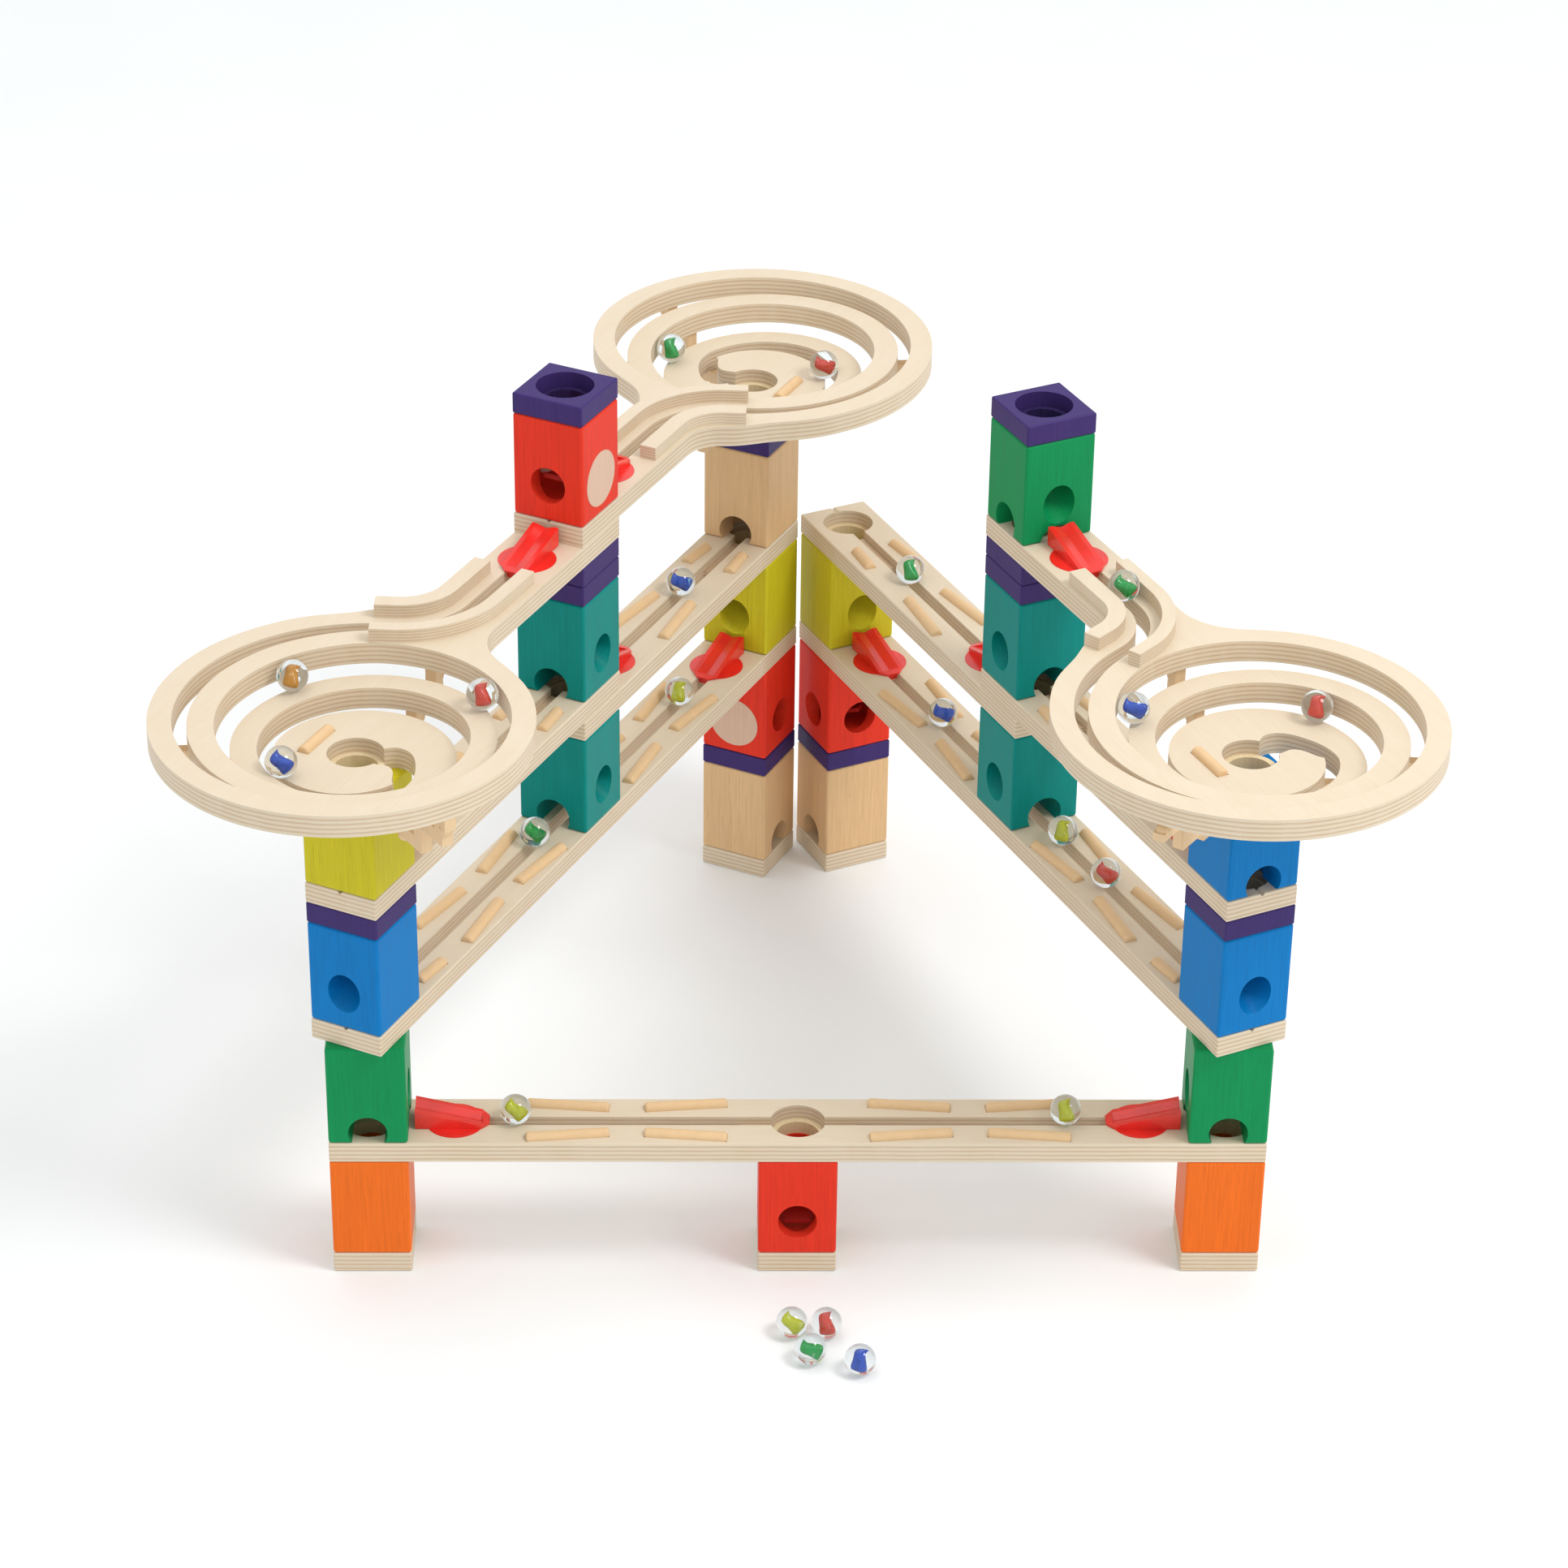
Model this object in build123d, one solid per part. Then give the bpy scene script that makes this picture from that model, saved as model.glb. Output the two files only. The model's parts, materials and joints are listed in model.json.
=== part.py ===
"""Marble run: stacked wooden blocks, slotted plywood rails, three spiral tracks.

Millimetres, +Z up. The origin is the bottom centre of the middle front foot, +X runs along the
front rail and +Y towards the back. Every file in parts/ is written in this one frame.
"""
from build123d import *
from math import atan2, cos, degrees, hypot, radians, sin, sqrt, tan
import os

os.makedirs("parts", exist_ok=True)

# ---- driving dimensions -------------------------------------------------------------------
SIDE = 40.0            # block and rail width
OVERHANG = SIDE / 2    # a board runs this far past its end holes
BLOCK_H = 57.0         # height of a block
PLY = 11.5             # thickness of rails, feet, spacers and spiral boards
PITCH = 434.0          # hole to hole on a long rail; a short rail is half of it
LEFT_ANGLE = 63.2      # the left side rails leave the front row at this angle
RIGHT_ANGLE = 65.0     # the same on the right, mirrored
MARBLE_R = 8.0
EDGE_R = 1.6           # rounding of block edges
PLATE_EDGE_R = 1.0
RAIL_EDGE_R = 0.8
BORE_R = 10.25         # vertical marble shaft in a block
SOCKET_R = 14.05       # collar socket, rail hole and spacer hole
SOCKET_DEEP = 3.6
COLLAR_R = 14.0
COLLAR_BORE_R = 11.0
COLLAR_HALF = 3.5      # a collar reaches this far into the piece on each side
CAP_BORE_R = 15.0
PORT_R = 9.1           # side port of a plain block, bored down and out from the shaft
PORT_SLOPE = 33.0
PORT_Z = 20.4          # port's middle on the block's face
PORT_OUT = 14.0        # the bore's cutter starts this far outside the face
PORT_IN = 6.0          # and ends this far past the shaft's middle
CHAMBER_PORT_R = 10.0  # level side port of a red block
CHAMBER_PORT_Z = 20.0
ARCH_R = 10.0
ARCH_Z = 5.8           # axis of the arch at a block's foot
LOW_ARCH_Z = -1.6      # the same where a port lies above it

SLOT_W = 7.2           # slot the marble rolls over
SLOT_START = 52.0      # through slot starts this far from a drop hole
FRONT_SLOT = 30.0      # the same on the front rail, from its middle hole
CHANNEL_DEEP = 4.5     # shallow channel between drop hole and slot
DOWEL_R = 3.2
DOWEL_L = 42.0
DOWEL_WIDE = 15.0      # far and near distance of a dowel from the slot line
DOWEL_NEAR = 11.0
DOWEL_END_R = 1.4      # rounding of a dowel's ends
DOWEL_FIT = 0.02       # the bed is this much larger than the dowel
GUIDE_START = (33.0, 11.4)   # short guide dowel: distance from the hole, and from the slot line
GUIDE_STOP = (55.0, 13.2)
CHANNEL_START = 12.0   # the shallow channel begins inside the drop hole's rim
SLOT_TO_RAMP = 12.0    # a slot ends this far before a ramp's pivot
NOTCH = 2.0            # side of the square bar that cuts the V at a board's end
NOTCH_L = 8.0

RAMP_AT = 43.0         # ramp pivot from the tower centre
RAMP_DISC_R = 15.0
RAMP_SEAT = 4.0        # depth of the ramp's seat in the board
RAMP_HIGH = 10.4
RAMP_LOW = 1.2
RAMP_BACK = 20.0
RAMP_FRONT = 17.5
RAMP_W = 15.0
RAMP_CHAMFER = 4.0     # cut corners of the low end
VALLEY_HALF = 6.8      # the groove a marble runs down
VALLEY_DEEP = 1.7
STEM_R = 4.0
BUTTON_R = 7.0
RUN_FIT = 0.05         # radial running clearance

CAVITY_R = 14.5        # round chamber of a red block
CAVITY_FLOOR = 8.0
CAVITY_TOP = 46.0
PIVOT_Z = 17.0         # seesaw pin above the block's bottom
PIN_R = 1.5
PIN_L = 32.0
ARM_L = 11.5
FIN_H = 15.0
ROCKER_W = 14.0
ROCKER_T = 2.4
ROCKER_LEAN = 18.0
PLUG_R = 15.0
PLUG_DEEP = 3.0

SPIRAL_CENTRE = (-3.9, -1.4)   # the winding's centre seen from the drop hole
SPIRAL_R90 = 84.7      # slot radius a quarter turn in
SPIRAL_STEP = 20.0     # radius lost per turn
SPIRAL_SLOT = 7.0
SPIRAL_RIM = 15.3      # slot line to the outer edge
SPIRAL_DROP = 2 * PLY  # the middle hangs this far below the tail
BAND_START = 380.0     # winding angles between which the band comes down
BAND_END = 965.0
SLOT_ENTRY = 18.0      # winding angle where the tail's bend meets the spiral
BEND_R = 40.0
# the slot's hook into the drop hole, as points either side of it seen from the hole
HOOK_INNER = [(-13.0, -27.8), (-6.5, -24.2), (-4.3, -20.5), (-4.8, -15.5), (-4.5, -9.0)]
HOOK_OUTER = [(-9.3, -37.0), (4.1, -31.0), (12.4, -22.5), (12.8, -15.0), (8.5, -10.0), (4.0, -7.5)]
GUARD_NEAR = 9.0       # guard strips beside the tail's slot
GUARD_H = 7.5
GUARD_END = 24.0
STRUT_T = 6.0
STRUT_DEEP = 7.0
STRUT_BUTTON_R = 3.6
STRUT_ANGLES = (0.0, 120.0, 240.0)

# ---- levels and tower positions -----------------------------------------------------------
FRONT_Z = PLY + BLOCK_H                  # underside of the front rail
SIDE_Z = 2 * PLY + 2 * BLOCK_H           # underside of the lower side rails
DECK = SIDE_Z + PLY                      # top of the lower side rails
BACK_Z = DECK + BLOCK_H                  # underside of the upper back rails
UPPER_Z = BACK_Z + PLY                   # underside of the upper front rails
SPIRAL_Z = DECK + 2 * BLOCK_H + 2 * PLY  # underside of the front spirals' middle
TAIL_Z = SPIRAL_Z + SPIRAL_DROP          # underside of the front spirals' tail

LEFT = LEFT_ANGLE
RIGHT = 180.0 - RIGHT_ANGLE
HALF = PITCH / 2


def step_from(origin, angle, distance):
    """A point at a distance and angle from another, in plan."""
    return (origin[0] + distance * cos(radians(angle)), origin[1] + distance * sin(radians(angle)))


T1 = (-HALF, 0.0)
T2 = (0.0, 0.0)
T3 = (HALF, 0.0)
T4 = step_from(T1, LEFT, PITCH)
T5 = step_from(T3, RIGHT, PITCH)
T6 = step_from(T1, LEFT, HALF)
T7 = step_from(T3, RIGHT, HALF)
FACE = {"x": 0.0, "y": 90.0, "-x": 180.0, "-y": 270.0}


def at(tower, angle, z, shape):
    """Stand a shape on a tower, turned about the vertical."""
    return Pos(tower[0], tower[1], z) * Rot(0, 0, angle) * shape


def upright(radius, low, high, x=0.0, y=0.0):
    """A vertical cylinder between two heights."""
    return Pos(x, y, (low + high) / 2) * Cylinder(radius, high - low)


def sideways(radius, length, z, angle, start=0.0):
    """A horizontal cylinder that leaves the middle axis at an angle."""
    lying = Pos(start + length / 2, 0, z) * Rot(0, 90, 0) * Cylinder(radius, length)
    return Rot(0, 0, angle) * lying


def write(name, shapes):
    """Write one piece, or one group of still pieces, to its own file."""
    solids = [s for shape in shapes for s in shape.solids()]
    body = solids[0] if len(solids) == 1 else Compound(children=solids)
    body.label = name
    export_step(body, f"parts/{name}.step")
    print(name, len(solids))


# ---- blocks -------------------------------------------------------------------------------
def plain_block(height=BLOCK_H, rounding=EDGE_R):
    box = Pos(0, 0, height / 2) * Box(SIDE, SIDE, height)
    return fillet(box.edges(), rounding)


def sloping_port(face):
    """A bore that falls from the shaft to a face, so that a marble rolls out."""
    reach = SIDE / 2 / cos(radians(PORT_SLOPE))
    run = reach + PORT_OUT + PORT_IN
    lying = Pos((PORT_OUT - PORT_IN) / 2 - reach / 2, 0, 0) * Rot(0, 90, 0) * Cylinder(PORT_R, run)
    return Rot(0, 0, FACE[face]) * Pos(SIDE / 2, 0, PORT_Z) * Rot(0, PORT_SLOPE, 0) * lying


def block(ports=(), arches=()):
    """A block with its shaft and collar sockets, side ports and arches at the foot."""
    shaft_floor = PORT_Z + SIDE / 2 * tan(radians(PORT_SLOPE)) if ports else -1
    body = plain_block() - upright(BORE_R, shaft_floor, BLOCK_H + 1)
    body -= upright(SOCKET_R, BLOCK_H - SOCKET_DEEP, BLOCK_H + 1)
    if not arches:
        body -= upright(SOCKET_R, -1, SOCKET_DEEP)
    for face in ports:
        body -= sloping_port(face)
    for face in arches:
        axis_z = LOW_ARCH_Z if face in ports else ARCH_Z
        body -= sideways(ARCH_R, SIDE, axis_z, FACE[face])
    return body


def red_block(ports, pin_angle, plug_face=None):
    """A block with a round chamber for the seesaw, its pin hole and a plugged face."""
    body = plain_block() - upright(BORE_R, CAVITY_TOP - 1, BLOCK_H + 1)
    body -= upright(SOCKET_R, BLOCK_H - SOCKET_DEEP, BLOCK_H + 1)
    body -= upright(SOCKET_R, -1, SOCKET_DEEP)
    body -= upright(CAVITY_R, CAVITY_FLOOR, CAVITY_TOP)
    for face in ports:
        body -= sideways(CHAMBER_PORT_R, SIDE, CHAMBER_PORT_Z, FACE[face])
    body -= sideways(PIN_R, PIN_L, PIVOT_Z, pin_angle, -PIN_L / 2)
    if plug_face:
        recess = sideways(PLUG_R + 0.05, PLUG_DEEP + 1, CHAMBER_PORT_Z, FACE[plug_face],
                          SIDE / 2 - PLUG_DEEP)
        body -= recess
    return body


def rocker():
    """Seesaw with an upright fin, about its pin along Y; it leans towards +X."""
    arms = Box(2 * ARM_L, ROCKER_W, ROCKER_T)
    fin = Pos(0, 0, FIN_H / 2) * Box(ROCKER_T, ROCKER_W, FIN_H)
    hub = Rot(90, 0, 0) * Cylinder(2 * PIN_R, ROCKER_W)
    body = arms + fin + hub - Rot(90, 0, 0) * Cylinder(PIN_R + RUN_FIT, ROCKER_W + 2)
    return Rot(0, ROCKER_LEAN, 0) * body


def spacer(bore=SOCKET_R):
    return plain_block(PLY, PLATE_EDGE_R) - upright(bore, -1, PLY + 1)


def foot():
    return plain_block(PLY, PLATE_EDGE_R) - upright(SOCKET_R, PLY - SOCKET_DEEP, PLY + 1)


# ---- ramps --------------------------------------------------------------------------------
def ramp():
    """Ramp about its pivot; the board's top is z = 0 and +X is the way the marble leaves."""
    rise = (RAMP_HIGH - RAMP_LOW) / (RAMP_BACK + RAMP_FRONT)
    lift = 0.3
    side = [(-RAMP_BACK, lift), (-RAMP_BACK, RAMP_HIGH), (RAMP_FRONT, RAMP_LOW), (RAMP_FRONT, lift)]
    profile = Face(Wire.make_polygon([(x, -RAMP_W / 2, z) for x, z in side], close=True))
    wedge = extrude(profile, amount=RAMP_W, dir=(0, 1, 0))
    corners = wedge.edges().filter_by(Axis.Z).group_by(Axis.X)[-1]
    wedge = chamfer(corners, RAMP_CHAMFER)
    valley = [(0, -VALLEY_HALF, 0.6), (0, VALLEY_HALF, 0.6), (0, 0, -VALLEY_DEEP)]
    cutter = extrude(Face(Wire.make_polygon(valley, close=True)), amount=35, dir=(1, 0, 0), both=True)
    cutter = Pos(-RAMP_BACK, 0, RAMP_HIGH) * Rot(0, degrees(atan2(rise, 1.0)), 0) * cutter
    body = wedge - cutter + upright(RAMP_DISC_R, 0.1 - RAMP_SEAT, lift)
    body += upright(STEM_R, -PLY - 0.2, 0.2 - RAMP_SEAT)
    button = upright(BUTTON_R, -PLY - 1.6, -PLY - 0.1)
    return body + fillet(button.edges().group_by(Axis.Z)[0], 0.6)


def ramp_seat(x):
    """What a board loses under a ramp whose pivot stands at x, with the board's top at PLY."""
    seat = upright(RAMP_DISC_R + RUN_FIT, PLY - RAMP_SEAT, PLY + 1, x)
    return seat + upright(STEM_R + RUN_FIT, -1, PLY, x)


# ---- rails --------------------------------------------------------------------------------
def lying_dowel(x1, y1, x2, y2, radius=DOWEL_R):
    """A dowel with rounded ends between two points at height 0."""
    length = hypot(x2 - x1, y2 - y1)
    peg = Cylinder(radius, length)
    peg = fillet(peg.edges(), DOWEL_END_R)
    turned = Rot(0, 0, degrees(atan2(y2 - y1, x2 - x1))) * Rot(0, 90, 0) * peg
    return Pos((x1 + x2) / 2, (y1 + y2) / 2, 0) * turned


def groove(x1, y1, x2, y2, radius=DOWEL_R + DOWEL_FIT):
    """The bed a dowel lies in."""
    length = hypot(x2 - x1, y2 - y1) + 0.1
    turned = Rot(0, 0, degrees(atan2(y2 - y1, x2 - x1))) * Rot(0, 90, 0) * Cylinder(radius, length)
    return Pos((x1 + x2) / 2, (y1 + y2) / 2, PLY) * turned


def dowel_lines(starts):
    """Pairs of dowels beside the slot: closing in towards a start's far end, then opening."""
    lines = []
    for x, opening in starts:
        near, far = (DOWEL_NEAR, DOWEL_WIDE) if opening else (DOWEL_WIDE, DOWEL_NEAR)
        for hand in (-1, 1):
            lines.append((x, hand * near, x + DOWEL_L, hand * far))
    return lines


def guide_lines(hole_x, way):
    """The short pair of guide dowels next to a drop hole."""
    (x1, y1), (x2, y2) = GUIDE_START, GUIDE_STOP
    return [(hole_x + way * x1, hand * y1, hole_x + way * x2, hand * y2) for hand in (-1, 1)]


def v_notch(x1, x2):
    """A shallow V scratched along the middle of a board."""
    bar = Rot(45, 0, 0) * Box(abs(x2 - x1), NOTCH, NOTCH)
    return Pos((x1 + x2) / 2, 0, PLY) * bar


def rail(first, last, holes, ramps, slots, channels, pegs):
    """A board from first to last with its holes, ramp seats, slots, channels and dowel beds."""
    body = Pos((first + last) / 2, 0, PLY / 2) * Box(last - first, SIDE, PLY)
    body = fillet(body.edges(), RAIL_EDGE_R)
    for x in holes:
        body -= upright(SOCKET_R, -1, PLY + 1, x)
    for x in ramps:
        body -= ramp_seat(x)
    for x1, x2 in slots:
        body -= Pos((x1 + x2) / 2, 0, PLY / 2) * Box(x2 - x1, SLOT_W, PLY + 2)
    for x1, x2 in channels:
        body -= Pos((x1 + x2) / 2, 0, PLY) * Box(x2 - x1, SLOT_W, 2 * CHANNEL_DEEP)
    for line in pegs:
        body -= groove(*line)
    body -= v_notch(first - 1, first + NOTCH_L)
    body -= v_notch(last - NOTCH_L, last + 1)
    return body


FRONT_PEGS = dowel_lines([(-138.0, False), (-78.0, True), (36.0, False), (96.0, True)])
LONG_PEGS = dowel_lines([(76.0, False), (138.0, True), (254.0, False), (316.0, True)])
LONG_GUIDES = guide_lines(0.0, 1)
SHORT_PEGS = dowel_lines([(96.0, True)])
SHORT_GUIDES = guide_lines(0.0, 1)


def front_rail():
    pivot = HALF - RAMP_AT
    slots = [(-pivot + SLOT_TO_RAMP, -FRONT_SLOT), (FRONT_SLOT, pivot - SLOT_TO_RAMP)]
    channels = [(-FRONT_SLOT - 1, -CHANNEL_START), (CHANNEL_START, FRONT_SLOT + 1)]
    return rail(-HALF - OVERHANG, HALF + OVERHANG, (-HALF, 0.0, HALF), (-pivot, pivot), slots, channels,
                FRONT_PEGS)


def long_rail():
    pivot = PITCH - RAMP_AT
    slots = [(SLOT_START, pivot - SLOT_TO_RAMP)]
    channels = [(CHANNEL_START, SLOT_START + 1)]
    return rail(-OVERHANG, PITCH + OVERHANG, (0.0, PITCH), (pivot,), slots, channels,
                LONG_PEGS + LONG_GUIDES)


def short_rail():
    pivot = HALF - RAMP_AT
    slots = [(SLOT_START, pivot - SLOT_TO_RAMP)]
    channels = [(CHANNEL_START, SLOT_START + 1)]
    return rail(-OVERHANG, HALF + OVERHANG, (0.0, HALF), (pivot,), slots, channels,
                SHORT_PEGS + SHORT_GUIDES)


# ---- spiral board -------------------------------------------------------------------------
def slot_r(winding):
    """Radius of the slot's middle line at a winding angle."""
    return SPIRAL_R90 - SPIRAL_STEP * (winding - 90.0) / 360.0


def band_z(winding):
    """Height of the band's top below the tail's top."""
    part = (winding - BAND_START) / (BAND_END - BAND_START)
    return -SPIRAL_DROP * min(max(part, 0.0), 1.0)


def polar(winding, radius):
    return step_from(SPIRAL_CENTRE, winding, radius)


def spread(first, last, step):
    """Evenly spaced values from first to last."""
    count = max(2, int(abs(last - first) / step) + 1)
    return [first + (last - first) * i / (count - 1) for i in range(count)]


SLOT_HALF = SPIRAL_SLOT / 2
BEND_TURN = 88.0 - SLOT_ENTRY
BEND_X = polar(SLOT_ENTRY, slot_r(SLOT_ENTRY))[0] + BEND_R * sin(radians(BEND_TURN))


def beside_track(offset, start_x, end):
    """Points beside the slot from the tail through the bend to a winding angle."""
    points = [(start_x, -offset)]
    for a in spread(0.0, BEND_TURN, 7.0):
        reach = BEND_R + offset
        points.append((BEND_X - reach * sin(radians(a)), BEND_R - reach * cos(radians(a))))
    for a in spread(SLOT_ENTRY, end, 2.0)[1:]:
        points.append(polar(a, slot_r(a) - offset))
    return points


def slab(runs, z, thick):
    """Extrude a closed outline made of straight and smooth runs of points."""
    edges = []
    for i, (kind, points) in enumerate(runs):
        following = runs[(i + 1) % len(runs)][1][0]
        if kind == "smooth":
            edges.append(Spline([(x, y, z) for x, y in points]))
        else:
            for a, b in zip(points[:-1], points[1:]):
                edges.append(Line((a[0], a[1], z), (b[0], b[1], z)))
        end = points[-1]
        if hypot(end[0] - following[0], end[1] - following[1]) > 1e-6:
            edges.append(Line((end[0], end[1], z), (following[0], following[1], z)))
    return extrude(Face(Wire(edges)), amount=thick, dir=(0, 0, 1))


def track_strip(left, right, start_x, end, z, thick):
    """A strip that follows the tail's slot between two offsets."""
    a = beside_track(left, start_x, end)
    b = beside_track(right, start_x, end)
    runs = [("straight", a[:2]), ("smooth", a[1:]), ("smooth", b[:0:-1]), ("straight", [b[1], b[0]])]
    return slab(runs, z, thick)


def flat_board():
    """Tail and first turn: the level part of the board, its top at z = 0."""
    tip = HALF + 20
    rim = [(BEND_X - 20 * sin(radians(a)), BEND_R - 20 * cos(radians(a))) for a in spread(0, 68, 10)]
    rim.append((92.5, 42.8))
    rim += [polar(a, slot_r(a) + SPIRAL_RIM) for a in spread(30.0, 330.0, 12.0)]
    rim += [(80.5, -30.5), (91.0, -23.0), (104.0, -20.0)]
    body = slab([("straight", [(tip, -20.0), (tip, 20.0), (BEND_X, 20.0)]), ("smooth", rim)], -PLY, PLY)
    inside = [polar(a, slot_r(a) + SLOT_HALF) for a in spread(20.0, BAND_START, 12.0)]
    body -= slab([("smooth", inside)], -PLY - 1, PLY + 2)
    return body - track_strip(-SLOT_HALF, SLOT_HALF, HALF - RAMP_AT - 12, 24.0, -PLY - 1, PLY + 2)


def falling_band():
    """The band that winds down; it meets the first turn and the middle disc on flat end faces."""
    windings = spread(BAND_START, BAND_END, 9.0)
    lines = {}
    for key, shift, side in (("in", 0.0, SLOT_HALF), ("out", -360.0, -SLOT_HALF)):
        for level, drop in (("top", 0.0), ("low", -PLY)):
            points = [(*polar(a, slot_r(a + shift) + side), band_z(a) + drop) for a in windings]
            lines[key, level] = Spline(points)
    pairs = ((("in", "top"), ("out", "top")), (("in", "low"), ("out", "low")),
             (("in", "top"), ("in", "low")), (("out", "top"), ("out", "low")))
    faces = [Face.make_surface_from_curves(lines[a], lines[b]) for a, b in pairs]
    for a in (windings[0], windings[-1]):
        inner = polar(a, slot_r(a) + SLOT_HALF)
        outer = polar(a, slot_r(a - 360.0) - SLOT_HALF)
        top, low = band_z(a), band_z(a) - PLY
        loop = [(*inner, top), (*outer, top), (*outer, low), (*inner, low)]
        faces.append(Face(Wire.make_polygon(loop, close=True)))
    return Solid(Shell(faces))


def hook_lines():
    """Both sides of the slot's last stretch: off the spiral, round a bend, into the drop hole."""
    inner = [polar(BAND_END, slot_r(BAND_END) - SLOT_HALF)] + HOOK_INNER
    outer = [polar(BAND_END, slot_r(BAND_END) + SLOT_HALF)] + HOOK_OUTER
    return inner, outer


def middle_disc():
    """The level disc round the drop hole, where the slot hooks in."""
    low = -SPIRAL_DROP - PLY
    rim = [polar(a, slot_r(a) - SLOT_HALF) for a in spread(BAND_END - 360.0, BAND_END, 12.0)]
    body = slab([("smooth", rim)], low, PLY)
    inner, outer = hook_lines()
    hook = [("smooth", outer), ("smooth", inner[::-1])]
    body -= slab(hook, low - 1, PLY + 2)
    return body - upright(SOCKET_R, low - 1, low + PLY + 1)


DISC_PEG = (-12.0, 22.5, 14.0, 22.5)


def spiral_board():
    """The whole board with its tail's top at z = PLY."""
    body = Pos(0, 0, PLY) * (flat_board() + falling_band() + middle_disc())
    body -= upright(SOCKET_R, -1, PLY + 1, HALF)
    body -= ramp_seat(HALF - RAMP_AT)
    body -= Pos(0, 0, -SPIRAL_DROP) * groove(*DISC_PEG)
    return body - v_notch(HALF + 12, HALF + 21)


def spiral_guards():
    """The two raised strips beside the tail's slot."""
    start = HALF - 65.0
    concave = track_strip(-GUARD_NEAR, -GUARD_NEAR - 9.0, start, GUARD_END, PLY, GUARD_H)
    convex = track_strip(GUARD_NEAR, GUARD_NEAR + 7.0, start, GUARD_END, PLY, GUARD_H)
    return [concave, convex]


def strut(angle):
    """A stepped bar under the turns that meet one direction, with round buttons below."""
    spans = []
    first = angle + (360.0 if angle < SLOT_ENTRY else 0.0)
    while first + 360.0 * len(spans) < BAND_END:
        a = first + 360.0 * len(spans)
        outer = slot_r(a - 360.0) - SLOT_HALF if spans else min(slot_r(a) + SPIRAL_RIM, 92.0)
        spans.append((slot_r(a) + SLOT_HALF, outer, min(band_z(a - 6), band_z(a + 6)) - 0.05))
    turns_met = len(spans)
    rim = slot_r(a) - SLOT_HALF
    spans.append((rim - 7.0, rim, -SPIRAL_DROP - 0.05))
    upper, lower = [], []
    for i, (inner, outer, z) in enumerate(spans):
        reach = outer if i == 0 else spans[i - 1][0] + 2.0
        upper += [(reach, z), (inner + (2.0 if i < turns_met else 0.0), z)]
        reach = outer if i == 0 else spans[i - 1][0] + 9.0
        lower += [(reach, z - STRUT_DEEP), (inner + (9.0 if i < turns_met else 0.0), z - STRUT_DEEP)]
    outline = [(r, -STRUT_T / 2, z) for r, z in upper + lower[::-1]]
    bar = extrude(Face(Wire.make_polygon(outline, close=True)), amount=STRUT_T, dir=(0, 1, 0))
    for inner, outer, z in spans[:turns_met]:
        bar += Pos((inner + outer) / 2 + 2.0, 0, z - STRUT_DEEP) * Sphere(STRUT_BUTTON_R)
    return Pos(SPIRAL_CENTRE[0], SPIRAL_CENTRE[1], 0) * Rot(0, 0, angle) * bar


# ---- marbles ------------------------------------------------------------------------------
def marble():
    return Sphere(MARBLE_R)


RAIL_SEAT = sqrt(MARBLE_R ** 2 - (SLOT_W / 2) ** 2) + 0.02
TAIL_SEAT = sqrt(MARBLE_R ** 2 - SLOT_HALF ** 2) + 0.02


def seat_on_band(winding):
    """Where a marble lies on the lower turn and leans on the upper turn's edge."""
    top = band_z(winding)
    drop = top - band_z(winding + 360.0)
    centre_z = top - drop + MARBLE_R + 0.08
    lean = MARBLE_R + 0.12
    above = max(centre_z - top, 0.0)
    reach = slot_r(winding) + SLOT_HALF - sqrt(lean ** 2 - above ** 2)
    if reach > slot_r(winding) - SLOT_HALF:
        span = hypot(SPIRAL_SLOT, drop)
        rise = sqrt((MARBLE_R + 0.1) ** 2 - (span / 2) ** 2)
        reach = slot_r(winding) - rise * drop / span
        centre_z = top - drop / 2 + rise * SPIRAL_SLOT / span
    return (*polar(winding, reach), centre_z)


# ---- the assembly -------------------------------------------------------------------------
# tower, plan angle, underside height
RAILS = {
    "rail_front": (T2, 0.0, FRONT_Z, front_rail),
    "rail_left_lower": (T1, LEFT, SIDE_Z, long_rail),
    "rail_right_lower": (T3, RIGHT, SIDE_Z, long_rail),
    "rail_left_back": (T4, LEFT + 180.0, BACK_Z, short_rail),
    "rail_right_back": (T5, RIGHT + 180.0, BACK_Z, short_rail),
    "rail_left_upper": (T6, LEFT + 180.0, UPPER_Z, short_rail),
    "rail_right_upper": (T7, RIGHT + 180.0, UPPER_Z, short_rail),
}
SPIRALS = {
    "spiral_left": (T1, LEFT, TAIL_Z),
    "spiral_right": (T3, RIGHT, TAIL_Z),
    "spiral_back": (T4, LEFT + 180.0, TAIL_Z + PLY),
}
# name, board it sits on, distance of the pivot along the board, way the marble leaves
RAMPS = [
    ("ramp_front_left", "rail_front", -HALF + RAMP_AT, 0.0),
    ("ramp_front_right", "rail_front", HALF - RAMP_AT, 180.0),
    ("ramp_left_lower", "rail_left_lower", PITCH - RAMP_AT, 180.0),
    ("ramp_right_lower", "rail_right_lower", PITCH - RAMP_AT, 180.0),
    ("ramp_left_back", "rail_left_back", HALF - RAMP_AT, 180.0),
    ("ramp_right_back", "rail_right_back", HALF - RAMP_AT, 180.0),
    ("ramp_left_upper", "rail_left_upper", HALF - RAMP_AT, 180.0),
    ("ramp_right_upper", "rail_right_upper", HALF - RAMP_AT, 180.0),
    ("ramp_spiral_left", "spiral_left", HALF - RAMP_AT, 180.0),
    ("ramp_spiral_right", "spiral_right", HALF - RAMP_AT, 180.0),
    ("ramp_spiral_back", "spiral_back", HALF - RAMP_AT, 180.0),
]
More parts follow.
